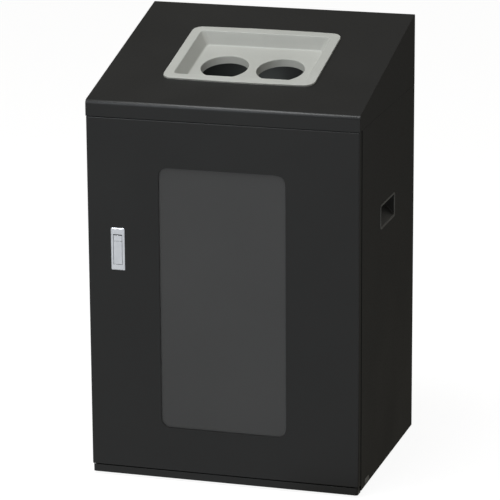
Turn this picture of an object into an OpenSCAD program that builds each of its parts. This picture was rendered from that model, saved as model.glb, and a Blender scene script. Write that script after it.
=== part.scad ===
// Floor-standing recycling cabinet of folded sheet steel. A sloped hood carries a moulded
// tray with two round inlets. The full-width front door hinges on its right edge, and has
// a window and a flush latch with a push button and a swing lever. An inner container
// stands on two rails, and four levelling feet carry the base.
// Millimetres. The origin is the middle of the footprint on the floor, X to the right,
// Y to the back, Z up. The front faces -Y.

/* [Cabinet] */
// Width over the side panels
body_w = 500; // [490:2:540]
// Depth from the latch plate to the back panel
body_d = 400; // [396:2:440]
// Height of the hood's back edge above the floor
body_h = 800; // [790:5:840]
// Height of the hood's front crease
crease_h = 696; // [690:1:704]
// Height of the hood's lower edge, where the body begins
hood_z = 668; // [666:1:672]
// Thickness of the folded sheet
sheet_t = 1.2; // [1:0.1:1.4]
// Height of the base above the floor
base_z = 8; // [8:1:10]
// Height of the base pan
base_h = 7.5; // [7:0.5:8]
// How far the base pan's front edge hangs below the pan
lip_down = 3; // [0:0.5:5]
// How far the base pan's front edge stands above the pan
lip_up = 3; // [0:0.5:3]
// Outside radius of the hood's front crease
crease_r = 8; // [4:0.5:10]
// Outside radius of the base pan's corners
base_r = 5; // [3:1:8]

/* [Inlet tray] */
// Diameter of each inlet
inlet_d = 87; // [80:1:96]
// Distance between the centres of the inlets
inlet_pitch = 104.4; // [103:0.2:108]
// Distance of the inlets' centres from the crease, along the slope
inlet_s = 197; // [192:1:200]
// Depth of the collar round each inlet
collar_h = 15; // [8:1:20]
// Width of the tray's rim over all
tray_w = 281; // [275:1:300]
// Length of the tray's rim at its ends, along the slope
tray_l = 207; // [204:1:216]
// How far the rim's front and back edges bow out in the middle
tray_crown = 3.5; // [0:0.5:5]
// Height of the rim above the hood
rim_h = 3.5; // [2:0.5:4]
// Depth of the tray's floor below the hood's surface
tray_depth = 20; // [16:1:24]

/* [Door] */
// How far the door's side edges stay inside the side panels' faces
door_inset = 0.5; // [0.5:0.1:1]
// Gap between the door and the strip above it
door_gap_top = 0.9; // [0.9:0.1:4]
// Gap between the door and the base below it
door_gap_bottom = 4; // [4:0.1:5]
// Radius of the door's front edges
door_r = 2; // [1.8:0.1:3]
// Width of the window
win_w = 233; // [200:1:240]
// Height of the window
win_h = 481; // [420:1:485]
// Height of the window's centre
win_z = 341.5; // [335:0.5:345]
// Corner radius of the window
win_r = 17; // [8:1:25]
// Thickness of the window pane
pane_t = 3; // [2:0.5:3]

/* [Latch] */
// Height of the latch's centre
latch_z = 428; // [380:1:450]
// Distance of the latch's centre from the door's middle
latch_off = 193.6; // [185:0.2:200]

/* [Hand hold and feet] */
// Length of the carry handle's rim
grip_l = 103; // [100:1:120]
// Height of the carry handle's rim
grip_h = 44; // [40:1:50]
// Distance of the carry handle behind the cabinet's middle
grip_y = 1; // [-20:1:20]
// Height of the carry handle's centre
grip_z = 478; // [440:1:500]
// Distance of each levelling foot from the cabinet's middle, sideways
foot_x = 205; // [205:1:208]
// Distance of each levelling foot from the cabinet's middle, front to back
foot_y = 150; // [140:1:150]
// Diameter of a foot's pad
pad_d = 36; // [30:1:36]

/* [Inner container] */
// Height of the inner container
box_h = 574; // [500:2:576]
// Width of the inner container at its foot
box_w0 = 380; // [340:2:380]
// Depth of the inner container at its foot
box_d0 = 300; // [260:2:300]
// How much wider the container is at its top
box_flare = 50; // [30:2:50]

/* [Hidden] */

// colours
c_steel = "#2b2b2d";
c_steel_in = "#343436";
c_tray = "#bcbdb5";
c_plate = "#b9bcc2";
c_zinc = "#9a9da1";
c_rubber = "#1c1c1c";
c_box = "#8f979b";

// planes of the cabinet
hw = body_w / 2;             // half the width
yf = -body_d / 2;            // face of the latch plate
yp = yf + 1.2;               // face of the door, the hood's strip and the base strip
yb = body_d / 2;             // face of the back panel
t = sheet_t;
body_y0 = yf + 20.2;           // front of the body, behind the door
floor_z = base_z + base_h;   // top of the base pan
seam_z = hood_z - 0.3;       // top of the side and back panels
jamb_w = 22;
header_z = hood_z - 28;
slope_a = atan((body_h - crease_h) / (yb - yp));

// planes of the door
door_z0 = floor_z + door_gap_bottom;
door_z1 = hood_z - door_gap_top;
door_w = body_w - 2 * door_inset;
door_hw = door_w / 2;
door_yb = yf + 18;           // back of the door's inner panel
door_y1 = door_yb - t - 0.2; // back of the door skin's flanges
hinge_x = hw - 7;
hinge_y = yf + 11.5;
pin_r = 3;

// latch
lx = -latch_off;
lever_py = yf + 4.6;
lever_pz = latch_z - 23;
lever_pin_r = 1.5;

// tray, along the slope
tray_s0 = inlet_s - 97;
tray_mid = tray_s0 + tray_l / 2;
mouth_w = 242;
mouth_s0 = tray_s0 + 17;
mouth_s1 = tray_s0 + tray_l - 17;
wall_in = 11;
tray_wall = 2.5;

$fn = 64;

// ---------- helpers ----------

// a plane rectangle with round corners, centred
module rrect(w, h, r) {
  union() {
    square([w - 2 * r, h], center = true);
    square([w, h - 2 * r], center = true);
    for (x = [-1, 1], y = [-1, 1]) translate([x * (w / 2 - r), y * (h / 2 - r)]) circle(r);
  }
}

// a plane shape in (Y, Z), drawn out along X from x0 to x1
module along_x(x0, x1) translate([x0, 0, 0]) rotate([90, 0, 90]) linear_extrude(x1 - x0) children();

// a plane shape in (X, Z), drawn out along Y from y0 to y1
module along_y(y0, y1) translate([0, y1, 0]) rotate([90, 0, 0]) linear_extrude(y1 - y0) children();

// a box from corner to corner
module span(a, b) translate(a) cube([b[0] - a[0], b[1] - a[1], b[2] - a[2]]);

// the hood's own slope: x across, y up the slope from the crease, z out of the sheet
module on_slope() translate([0, yp, crease_h]) rotate([slope_a, 0, 0]) children();

module pin_x(x0, x1, r) translate([x0, 0, 0]) rotate([0, 90, 0]) cylinder(r = r, h = x1 - x0);
module pin_y(y0, y1, r) translate([0, y0, 0]) rotate([-90, 0, 0]) cylinder(r = r, h = y1 - y0);
module hexagon(af, h) cylinder(d = af / cos(30), h = h, $fn = 6);

// ---------- hood ----------

// bend centres of the hood's section
half_a = (90 + slope_a) / 2;
bend_dir = [cos(slope_a), sin(slope_a) - 1] / norm([cos(slope_a), sin(slope_a) - 1]);
bend_c = [yp, crease_h] + bend_dir * crease_r / sin(half_a);
slope_n = [-sin(slope_a), cos(slope_a)];
top_r = 3;
half_b = (90 - slope_a) / 2;
top_dir = [-cos(slope_a), -sin(slope_a) - 1] / norm([-cos(slope_a), -sin(slope_a) - 1]);
top_c = [yb, body_h] + top_dir * top_r / sin(half_b);

// the hood's section, o inside the outer face, open down to z0
module hood_section(o, z0) {
  union() {
    polygon([
      [yp + o, z0], bend_c + (crease_r - o) * [-1, 0], bend_c + (crease_r - o) * slope_n,
      top_c + (top_r - o) * slope_n, top_c + (top_r - o) * [1, 0], [yb - o, z0]
    ]);
    translate(bend_c) circle(crease_r - o);
    translate(top_c) circle(top_r - o);
  }
}

hood_screw_x = [-180, 0, 180];
tray_screw_s = [-74, 0, 74];

module hood() {
  color(c_steel) difference() {
    union() {
      difference() {
        along_x(-hw, hw) hood_section(0, hood_z);
        along_x(-hw + t, hw - t) hood_section(t, hood_z - 1);
      }
      span([-hw + t, yp + t, hood_z], [hw - t, yf + 45, hood_z + t]);
    }
    on_slope() translate([0, (mouth_s0 + mouth_s1) / 2, -6]) linear_extrude(12) rrect(mouth_w + 9, mouth_s1 - mouth_s0 + 9, 10);
    on_slope() for (x = [-1, 1], s = tray_screw_s) translate([x * (tray_w / 2 - 4), tray_mid + s, -6]) cylinder(d = 3.4, h = 12);
    translate([hinge_x, hinge_y, hood_z - 1]) cylinder(d = 7, h = t + 2);
    for (x = hood_screw_x) translate([x, yf + 34, hood_z - 1]) cylinder(d = 4.4, h = t + 2);
  }
}

module hood_screws() {
  color(c_zinc) for (x = hood_screw_x) translate([x, yf + 34, header_z + 26.1]) {
    cylinder(d = 4, h = 9.5);
    translate([0, 0, -2.4]) cylinder(d = 8, h = 2.4);
  }
}

module hood_nuts() {
  color(c_zinc) for (x = hood_screw_x) translate([x, yf + 34, hood_z + t + 0.05]) difference() {
    hexagon(7, 3.2);
    translate([0, 0, -1]) cylinder(d = 4.1, h = 6);
  }
}

// ---------- inlet tray ----------

// the rim's outline: straight sides, front and back edges that bow out
function crown_edge(sgn) = [
  for (i = [0:24]) let (u = -1 + i / 12)
    [sgn * u * (tray_w / 2), sgn * (tray_l / 2 + tray_crown * (1 - u * u))]
];

module rim_outline() {
  intersection() {
    polygon(concat(crown_edge(-1), crown_edge(1)));
    rrect(tray_w, tray_l + 2 * tray_crown, 17);
  }
}

module mouth(o, h) linear_extrude(h) rrect(mouth_w - 2 * o, mouth_s1 - mouth_s0 - 2 * o, max(3, 5.5 - o / 3), $fn = 32);

module inlet_tray() {
  mid = (mouth_s0 + mouth_s1) / 2;
  color(c_tray) on_slope() difference() {
    union() {
      translate([0, tray_mid, 0]) linear_extrude(rim_h) rim_outline();
      hull() {
        translate([0, mid, -0.5]) mouth(-tray_wall, 0.5);
        translate([0, mid, -tray_depth - tray_wall]) mouth(wall_in - tray_wall, 0.5);
      }
      for (x = [-1, 1]) translate([x * inlet_pitch / 2, inlet_s, -tray_depth - collar_h]) cylinder(r = inlet_d / 2 + tray_wall, h = collar_h);
    }
    hull() {
      translate([0, mid, rim_h]) mouth(-1.5, 1);
      translate([0, mid, -tray_depth]) mouth(wall_in, 0.01);
    }
    for (x = [-1, 1]) translate([x * inlet_pitch / 2, inlet_s, -tray_depth - collar_h - 1]) cylinder(r = inlet_d / 2, h = collar_h + 5);
    for (x = [-1, 1], s = tray_screw_s) translate([x * (tray_w / 2 - 4), tray_mid + s, -1]) cylinder(d = 2.6, h = 3.6);
  }
}

module tray_screws() {
  color(c_zinc) on_slope() for (x = [-1, 1], s = tray_screw_s) translate([x * (tray_w / 2 - 4), tray_mid + s, 0]) {
    translate([0, 0, -t - 0.1]) cylinder(d = 2.5, h = t + 2.4);
    translate([0, 0, -t - 2.1]) cylinder(d = 6, h = 2);
  }
}

// ---------- body ----------

module feet_at() for (x = [-1, 1], y = [-1, 1]) translate([x * foot_x, y * foot_y, 0]) children();

module base_pan() {
  w = body_w - 3.2;
  d = yb - 1.4 - yp;
  color(c_steel) difference() {
    union() {
      translate([0, yp + d / 2, base_z]) linear_extrude(base_h) rrect(w, d, base_r);
      intersection() {
        translate([0, yp + d / 2, base_z - lip_down]) linear_extrude(base_h + lip_down - t) rrect(w, d, base_r);
        span([-hw, yp - 1, 0], [hw, yp + 20, floor_z]);
      }
      if (lip_up > 0) intersection() {
        translate([0, yp + d / 2, floor_z - t]) linear_extrude(t + lip_up) difference() {
          rrect(w, d, base_r);
          rrect(w - 2 * t, d - 2 * t, base_r - t);
        }
        span([-hw, yp - 1, 0], [hw, yp + 6, floor_z + lip_up]);
      }
    }
    translate([0, yp + d / 2, 0]) linear_extrude(floor_z - t) rrect(w - 2 * t, d - 2 * t, base_r - t);
    feet_at() translate([0, 0, base_z]) cylinder(d = 9, h = base_h + 1);
    translate([hinge_x, hinge_y, base_z]) cylinder(d = 6.4, h = base_h + 1);
  }
}

slot_y = -142;
slot_z = base_z + 8.4;

module side_panel() {
  z0 = floor_z + 0.2;
  color(c_steel) difference() {
    union() {
      span([hw - t, body_y0, base_z], [hw, yb, seam_z]);
      span([hw - jamb_w, body_y0, z0], [hw, body_y0 + t, seam_z]);
      span([hw - jamb_w, body_y0, z0], [hw - jamb_w + t, body_y0 + 16, header_z - 1]);
      span([hw - 25, foot_y * -1 + 50, z0], [hw, yb - 4, z0 + t]);
      span([hw - 18, yb - 2.6, z0], [hw, yb - 2.6 + t, seam_z - 2.2]);
      span([hw - 3.8, body_y0 + 4, seam_z - t], [hw, yb - 3, seam_z]);
      span([hw - 3.8, yf + 47, seam_z - t], [hw - 3.8 + t, yb - 10, seam_z + 23]);
    }
    along_x(hw - 2, hw + 1) translate([grip_y, grip_z]) rrect(grip_l - 2.4, grip_h - 2.8, 0.3);
    along_x(hw - 2, hw + 1) translate([slot_y, slot_z]) rrect(26, 8, 3.95);
  }
}

module side_panel_right() side_panel();
module side_panel_left() mirror([1, 0, 0]) side_panel();

module back_panel() {
  z0 = floor_z + 0.2;
  color(c_steel) union() {
    span([-hw + 1.4, yb - t, base_z], [hw - 1.4, yb, seam_z]);
    span([-hw + 25.5, yb - 20, z0], [hw - 25.5, yb, z0 + t]);
    span([-hw + 4, yb - 3.8, seam_z - t], [hw - 4, yb, seam_z]);
    span([-hw + 10, yb - 3.8, seam_z - t], [hw - 10, yb - 3.8 + t, seam_z + 23]);
  }
}

module header_rail() {
  y0 = body_y0 + t + 0.1;
  w = hw - 4.1;
  color(c_steel_in) difference() {
    union() {
      span([-w, y0, header_z], [w, y0 + t, hood_z - 0.6]);
      span([-w, y0, hood_z - 0.6 - t], [w, yf + 50, hood_z - 0.6]);
      span([-w, y0, header_z], [w, yf + 40, header_z + t]);
    }
    for (x = hood_screw_x) translate([x, yf + 34, hood_z - 4]) cylinder(d = 4.4, h = 6);
  }
}

// carry handle: a cup that is flush at its lower edge and deep at its upper edge
module carry_handle() {
  h = grip_h / 2;
  l = grip_l / 2;
  color("#4c4c4a") difference() {
    union() {
      along_x(hw + 0.05, hw + 0.95) translate([grip_y, grip_z]) rrect(grip_l, grip_h, 5);
      along_y(grip_y - l + 1.3, grip_y + l - 1.3) polygon([
        [hw + 0.5, grip_z - h + 1.6], [hw + 0.5, grip_z + h - 1.6], [hw - 25.8, grip_z + h - 1.6],
        [hw - 25.8, grip_z + h - 16.5], [hw - 1, grip_z - h + 1.6]
      ]);
    }
    along_y(grip_y - l + 3, grip_y + l - 3) polygon([
      [hw + 2, grip_z - h + 2.6], [hw + 2, grip_z + h - 3], [hw - 24, grip_z + h - 3],
      [hw - 24, grip_z + h - 15.5]
    ]);
  }
}

module carry_handle_right() carry_handle();
module carry_handle_left() mirror([1, 0, 0]) carry_handle();

module side_slot_plugs() {
  color("#5a5a58") for (m = [0, 1]) mirror([m, 0, 0]) {
    along_x(hw - t, hw + 0.1) translate([slot_y, slot_z]) rrect(25.8, 7.8, 3.85);
    along_x(hw + 0.05, hw + 0.75) translate([slot_y, slot_z]) rrect(28.6, 10.2, 5);
  }
}

// ---------- hinges ----------

module hinge_bracket_top() {
  color(c_zinc) difference() {
    span([hinge_x - 29, yf + 4, hood_z + t + 0.05], [hw - 3, yf + 24, hood_z + t + 2.55]);
    translate([hinge_x, hinge_y, hood_z]) cylinder(r = pin_r + 0.05, h = 8);
  }
}

module hinge_bracket_bottom() {
  color(c_zinc) difference() {
    span([hinge_x - 29, yf + 4, floor_z - t - 2.6], [hw - 5, yf + 22, floor_z - t - 0.1]);
    translate([hinge_x, hinge_y, base_z]) cylinder(r = pin_r + 0.05, h = base_h);
  }
}

module hinge_pin_top() {
  color(c_zinc) translate([hinge_x, hinge_y, 0]) {
    translate([0, 0, door_z1 - 14]) cylinder(r = pin_r, h = hood_z + t + 2.8 - door_z1 + 14);
    translate([0, 0, hood_z + t + 2.6]) cylinder(d = 9, h = 2);
  }
}

module hinge_pin_bottom() {
  color(c_zinc) translate([hinge_x, hinge_y, 0]) {
    translate([0, 0, floor_z - t - 2.7]) cylinder(r = pin_r, h = door_z0 + 13 - floor_z + t + 2.7);
    translate([0, 0, floor_z - t - 4]) cylinder(d = 8, h = 1.35);
  }
}

module hinge_thrust_washer() {
  color("#202020") translate([hinge_x, hinge_y, floor_z + 0.1]) difference() {
    cylinder(d = 10.6, h = door_gap_bottom - 1.2);
    translate([0, 0, -1]) cylinder(r = pin_r + 0.1, h = 8);
  }
}

module door_bushes() {
  color("#202020") translate([hinge_x, hinge_y, 0]) {
    difference() {
      union() {
        translate([0, 0, door_z0]) cylinder(d = 9.2, h = 14);
        translate([0, 0, door_z0 - 0.8]) cylinder(d = 10.6, h = 0.8);
      }
      translate([0, 0, door_z0 - 2]) cylinder(r = pin_r + 0.05, h = 20);
    }
    difference() {
      union() {
        translate([0, 0, door_z1 - 14]) cylinder(d = 9.2, h = 14);
        translate([0, 0, door_z1]) cylinder(d = 10.6, h = 0.5);
      }
      translate([0, 0, door_z1 - 16]) cylinder(r = pin_r + 0.05, h = 20);
    }
  }
}

// ---------- catches and bumpers ----------

catch_z = [120, 500];

module magnetic_catches() {
  color(c_rubber) for (z = catch_z) difference() {
    span([-hw + jamb_w + 0.1, yf + 19.7, z - 23], [-hw + 35, yf + 40, z + 23]);
    span([-hw + jamb_w + 2.4, yf + 19, z - 17], [-hw + 33, yf + 32, z + 17]);
  }
}

module catch_magnets() {
  color(c_zinc) for (z = catch_z) span([-hw + jamb_w + 2.6, yf + 19.5, z - 16.8], [-hw + 32.8, yf + 31.9, z + 16.8]);
}

module door_strike_plates() {
  color(c_zinc) for (z = catch_z) span([-hw + jamb_w + 0.5, door_yb + 0.05, z - 25], [-hw + 34.5, door_yb + 1.2, z + 25]);
}

module door_bumpers() {
  color(c_rubber) for (z = [60, 620]) translate([-hw + 12, 0, z]) {
    pin_y(yf + 18.4, body_y0 - 0.02, 4);
    pin_y(yf + 19.2, body_y0 - 0.02, 5);
  }
}

// ---------- door ----------

// the door's outline in plan, o inside the outer face, open at the back when deep
module door_plan(o, y1) {
  r = door_r - o;
  union() {
    translate([-door_hw + door_r, yp + o]) square([door_w - 2 * door_r, y1 - yp - o]);
    translate([-door_hw + o, yp + door_r]) square([door_w - 2 * o, y1 - yp - door_r]);
    for (x = [-1, 1]) translate([x * (door_hw - door_r), yp + door_r]) circle(r);
  }
}

// the door's outline from the side, its top and bottom front edges round
module door_profile() {
  translate([yp, door_z0 + door_r]) square([door_y1 - yp, door_z1 - door_z0 - 2 * door_r]);
  translate([yp + door_r, door_z0]) square([door_y1 - yp - door_r, door_z1 - door_z0]);
  for (z = [door_z0 + door_r, door_z1 - door_r]) translate([yp + door_r, z]) circle(door_r);
}

module door_skin() {
  color(c_steel) difference() {
    intersection() {
      translate([0, 0, door_z0]) linear_extrude(door_z1 - door_z0) door_plan(0, door_y1);
      along_x(-door_hw - 1, door_hw + 1) door_profile();
    }
    translate([0, 0, door_z0 + t]) linear_extrude(door_z1 - door_z0 - 2 * t) door_plan(t, door_y1 + 5);
    along_y(yp - 1, yp + t + 1) translate([0, win_z]) rrect(win_w, win_h, win_r);
    span([lx - 11.4, yp - 1, latch_z - 37.2], [lx + 11.4, yp + t + 1, latch_z + 37.2]);
    translate([hinge_x, hinge_y, door_z0 - 1]) cylinder(d = 9.3, h = t + 2);
    translate([hinge_x, hinge_y, door_z1 - t - 1]) cylinder(d = 9.3, h = t + 2);
  }
}

module door_inner_panel() {
  color(c_steel_in) difference() {
    along_y(door_yb - t, door_yb) translate([0, (door_z0 + door_z1) / 2]) rrect(door_w - 2.2, door_z1 - door_z0 - 0.6, 2);
    along_y(door_yb - t - 1, door_yb + 1) translate([0, win_z]) rrect(win_w + 12, win_h + 12, win_r + 4);
    for (z = latch_screw_z) translate([lx, 0, z]) pin_y(door_yb - 3, door_yb + 1, 1.7);
  }
}

module window_pane() {
  color([0.2, 0.2, 0.2, 0.6]) along_y(yp + t + 0.8, yp + t + 0.8 + pane_t) translate([0, win_z]) rrect(win_w + 24, win_h + 24, 10);
}

module window_gasket() {
  color(c_rubber) difference() {
    along_y(yp + t, yp + t + 0.75) translate([0, win_z]) rrect(win_w + 24, win_h + 24, 10);
    along_y(yp + t - 1, yp + t + 2) translate([0, win_z]) rrect(win_w + 4, win_h + 4, win_r + 2);
  }
}

frame_y0 = yp + t + 0.85 + pane_t;
stud_at = concat(
  [for (x = [-1, 1], z = [-2:2]) [x * (win_w / 2 + 19), win_z + z * 105]],
  [for (x = [-1, 1], z = [-1, 1]) [x * 60, win_z + z * (win_h / 2 + 19)]]
);

module window_retaining_frame() {
  color(c_zinc) difference() {
    along_y(frame_y0, frame_y0 + 1.2) translate([0, win_z]) rrect(win_w + 52, win_h + 52, 8);
    along_y(frame_y0 - 1, frame_y0 + 3) translate([0, win_z]) rrect(win_w + 4, win_h + 4, win_r + 2);
    for (p = stud_at) translate([p[0], 0, p[1]]) pin_y(frame_y0 - 1, frame_y0 + 3, 2.2);
  }
}

module window_studs() {
  color(c_zinc) for (p = stud_at) translate([p[0], 0, p[1]]) pin_y(yp + t, yp + t + 9, 2);
}

module window_nuts() {
  color(c_zinc) for (p = stud_at) translate([p[0], frame_y0 + 1.25, p[1]]) rotate([-90, 0, 0]) difference() {
    hexagon(7, 2.6);
    translate([0, 0, -1]) cylinder(r = 2.05, h = 6);
  }
}

// ---------- latch ----------

latch_screw_z = [latch_z - 33.5, latch_z + 32];
cav_z0 = latch_z - 30;
cav_z1 = latch_z + 27;
cav_y1 = yf + 14;

module latch_housing() {
  color(c_plate) difference() {
    union() {
      hull() {
        along_y(yf, yf + 0.1) translate([lx, latch_z]) rrect(22.6, 74.6, 1.5);
        along_y(yp - 0.32, yp - 0.02) translate([lx, latch_z]) rrect(25.4, 77.4, 1.8);
      }
      span([lx - 11.2, yp - 0.1, latch_z - 37], [lx + 11.2, cav_y1 + 1.8, latch_z + 37]);
    }
    span([lx - 8.55, yf - 1, cav_z0 + 1.5], [lx + 8.55, cav_y1, cav_z1]);
    span([lx - 8.55, yf + 0.45, cav_z0], [lx + 8.55, cav_y1, cav_z1]);
    translate([0, lever_py, lever_pz]) pin_x(lx - 12, lx + 12, lever_pin_r + 0.05);
    for (z = latch_screw_z) translate([lx, 0, z]) pin_y(yf + 8, cav_y1 + 3, 1.5);
  }
}

module latch_lever() {
  z0 = latch_z - 27.8;
  z1 = latch_z + 14.2;
  color(c_plate) difference() {
    union() {
      span([lx - 7.75, yf + 0.1, z0], [lx + 7.75, yf + 1.5, z1]);
      span([lx - 7.75, yf + 1.4, z1 - 2.2], [lx + 7.75, yf + 5, z1]);
      for (s = [-1, 1]) translate([lx + s * 5.9, lever_py, lever_pz]) {
        pin_x(-1.85, 1.85, 3.2);
      }
      for (s = [-1, 1]) along_x(lx + s * 7 - 0.75, lx + s * 7 + 0.75) polygon([
        [yf + 1.4, z0 + 3], [yf + 6.5, z0 + 3], [yf + 9, z0 + 12], [yf + 9, z1 - 8], [yf + 5, z1], [yf + 1.4, z1]
      ]);
    }
    translate([0, lever_py, lever_pz]) pin_x(lx - 9, lx + 9, lever_pin_r + 0.05);
  }
}

module latch_lever_pin() {
  color(c_zinc) translate([0, lever_py, lever_pz]) pin_x(lx - 10.9, lx + 10.9, lever_pin_r);
}

// torsion spring: turns round the pin, and one leg back to the housing's floor
module latch_lever_spring() {
  color(c_zinc) {
    for (i = [-2:2]) translate([lx + i * 1.2, lever_py, lever_pz]) rotate([0, 90, 0]) rotate_extrude($fn = 48) translate([2.2, 0]) circle(0.5, $fn = 32);
    translate([lx + 2.4, 0, lever_pz]) pin_y(lever_py + 2.3, cav_y1 - 0.1, 0.38, $fn = 32);
  }
}

button_z0 = latch_z + 14.8;
button_z1 = latch_z + 25;

module latch_button() {
  color(c_plate) difference() {
    span([lx - 7.75, yf + 0.3, button_z0], [lx + 7.75, yf + 10, button_z1]);
    translate([lx, 0, (button_z0 + button_z1) / 2]) pin_y(yf + 6, yf + 11, 3.4);
  }
}

// compression spring behind the button: turns, drawn as rings side by side
module latch_button_spring() {
  color(c_zinc) translate([lx, 0, (button_z0 + button_z1) / 2]) for (i = [0:5]) translate([0, yf + 6.6 + i * 1.35, 0]) rotate([-90, 0, 0]) rotate_extrude($fn = 32) translate([2.5, 0]) circle(0.45, $fn = 16);
}

module latch_fixing_screws() {
  color(c_zinc) for (z = latch_screw_z) translate([lx, 0, z]) {
    pin_y(yf + 9, door_yb + 0.1, 1.45);
    pin_y(door_yb + 0.05, door_yb + 1.8, 3);
  }
}

// ---------- inside ----------

box_z0 = floor_z + 8.8;
box_yc = 4;
box_r = 28;

module box_shell(o, z0, z1) hull() {
  translate([0, box_yc, z0]) linear_extrude(0.5) rrect(box_w0 - 2 * o, box_d0 - 2 * o, box_r - o, $fn = 32);
  translate([0, box_yc, z1 - 0.5]) linear_extrude(0.5) rrect(box_w0 + box_flare - 2 * o, box_d0 + box_flare * 0.68 - 2 * o, box_r + 4 - o, $fn = 32);
}

module inner_container() {
  z1 = box_z0 + box_h;
  w1 = box_w0 + box_flare;
  d1 = box_d0 + box_flare * 0.68;
  color(c_box) difference() {
    union() {
      box_shell(0, box_z0, z1);
      translate([0, box_yc, z1 - 14]) linear_extrude(14) rrect(w1 + 10, d1 + 10, box_r + 8);
    }
    box_shell(3, box_z0 + 3, z1 + 0.6);
    difference() {
      translate([0, box_yc, z1 - 15]) linear_extrude(13) rrect(w1 + 6, d1 + 6, box_r + 6);
      translate([0, box_yc, z1 - 16]) linear_extrude(20) rrect(w1 - 1.5, d1 - 1.5, box_r + 3);
    }
    for (s = [-1, 1]) along_x(s * (w1 / 2) - 14, s * (w1 / 2) + 8) translate([box_yc, z1 - 42]) rrect(110, 30, 14);
  }
}

module container_rails() {
  z0 = floor_z + 0.05;
  color(c_zinc) for (m = [0, 1]) mirror([m, 0, 0]) {
    span([150, body_y0 + 20, z0], [166, 178, z0 + t]);
    span([150, body_y0 + 20, z0], [150 + t, 178, z0 + 8.6]);
    span([136, body_y0 + 20, z0 + 8.6 - t], [150 + t, 178, z0 + 8.6]);
    span([136, 178 - t, z0 + 8.6 - t], [150 + t, 178, z0 + 24]);
  }
}

// ---------- levelling feet ----------

module foot_nut_plates() {
  color(c_zinc) feet_at() difference() {
    translate([-18.5, -18.5, floor_z + 0.05]) cube([37, 37, 5]);
    translate([0, 0, floor_z - 1]) cylinder(r = 4.05, h = 8);
  }
}

module foot_pad() {
  color(c_rubber) difference() {
    rotate_extrude() polygon([[0, 0], [pad_d / 2 - 1, 0], [pad_d / 2, 1], [pad_d / 2, 3], [11, 6], [0, 6]]);
    translate([0, 0, 1.5]) cylinder(r = 4.05, h = 6);
  }
}

module foot_stud() {
  color(c_zinc) union() {
    translate([0, 0, 1.6]) cylinder(r = 4, h = floor_z + 14 - 1.6);
    translate([0, 0, 6.05]) hexagon(14, floor_z - t - 6.5);
  }
}

module foot_pad_front_left() translate([-foot_x, -foot_y, 0]) foot_pad();
module foot_stud_front_left() translate([-foot_x, -foot_y, 0]) foot_stud();
module foot_pad_front_right() translate([foot_x, -foot_y, 0]) foot_pad();
module foot_stud_front_right() translate([foot_x, -foot_y, 0]) foot_stud();
module foot_pad_back_left() translate([-foot_x, foot_y, 0]) foot_pad();
module foot_stud_back_left() translate([-foot_x, foot_y, 0]) foot_stud();
module foot_pad_back_right() translate([foot_x, foot_y, 0]) foot_pad();
module foot_stud_back_right() translate([foot_x, foot_y, 0]) foot_stud();

// ---------- the nodes ----------

base_pan();
side_panel_left();
side_panel_right();
back_panel();
header_rail();
hood();
hood_screws();
hood_nuts();
inlet_tray();
tray_screws();
carry_handle_left();
carry_handle_right();
side_slot_plugs();
hinge_bracket_top();
hinge_bracket_bottom();
hinge_pin_top();
hinge_pin_bottom();
hinge_thrust_washer();
magnetic_catches();
catch_magnets();
door_bumpers();
foot_nut_plates();
container_rails();
inner_container();
door_skin();
door_inner_panel();
door_bushes();
door_strike_plates();
window_pane();
window_gasket();
window_retaining_frame();
window_studs();
window_nuts();
latch_housing();
latch_lever_pin();
latch_lever_spring();
latch_button_spring();
latch_fixing_screws();
latch_lever();
latch_button();
foot_pad_front_left();
foot_stud_front_left();
foot_pad_front_right();
foot_stud_front_right();
foot_pad_back_left();
foot_stud_back_left();
foot_pad_back_right();
foot_stud_back_right();
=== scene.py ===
import bpy, bmesh, math
import numpy as np
from mathutils import Vector, Matrix


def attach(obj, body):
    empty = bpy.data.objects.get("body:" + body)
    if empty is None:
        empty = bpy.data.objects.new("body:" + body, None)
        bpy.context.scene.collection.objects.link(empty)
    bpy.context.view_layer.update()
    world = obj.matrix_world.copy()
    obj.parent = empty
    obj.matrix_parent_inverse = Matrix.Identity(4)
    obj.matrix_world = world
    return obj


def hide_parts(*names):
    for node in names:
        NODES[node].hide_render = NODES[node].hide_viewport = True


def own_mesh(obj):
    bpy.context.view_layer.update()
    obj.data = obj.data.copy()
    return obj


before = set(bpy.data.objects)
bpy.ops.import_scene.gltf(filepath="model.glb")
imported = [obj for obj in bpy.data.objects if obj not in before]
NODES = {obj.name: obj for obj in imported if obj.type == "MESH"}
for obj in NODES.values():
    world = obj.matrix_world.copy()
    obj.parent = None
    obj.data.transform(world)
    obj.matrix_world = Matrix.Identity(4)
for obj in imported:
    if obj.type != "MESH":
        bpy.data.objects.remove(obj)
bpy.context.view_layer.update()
scene = bpy.context.scene
MM = 0.001

# ------------------------------------------------------------------ node helpers


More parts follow.
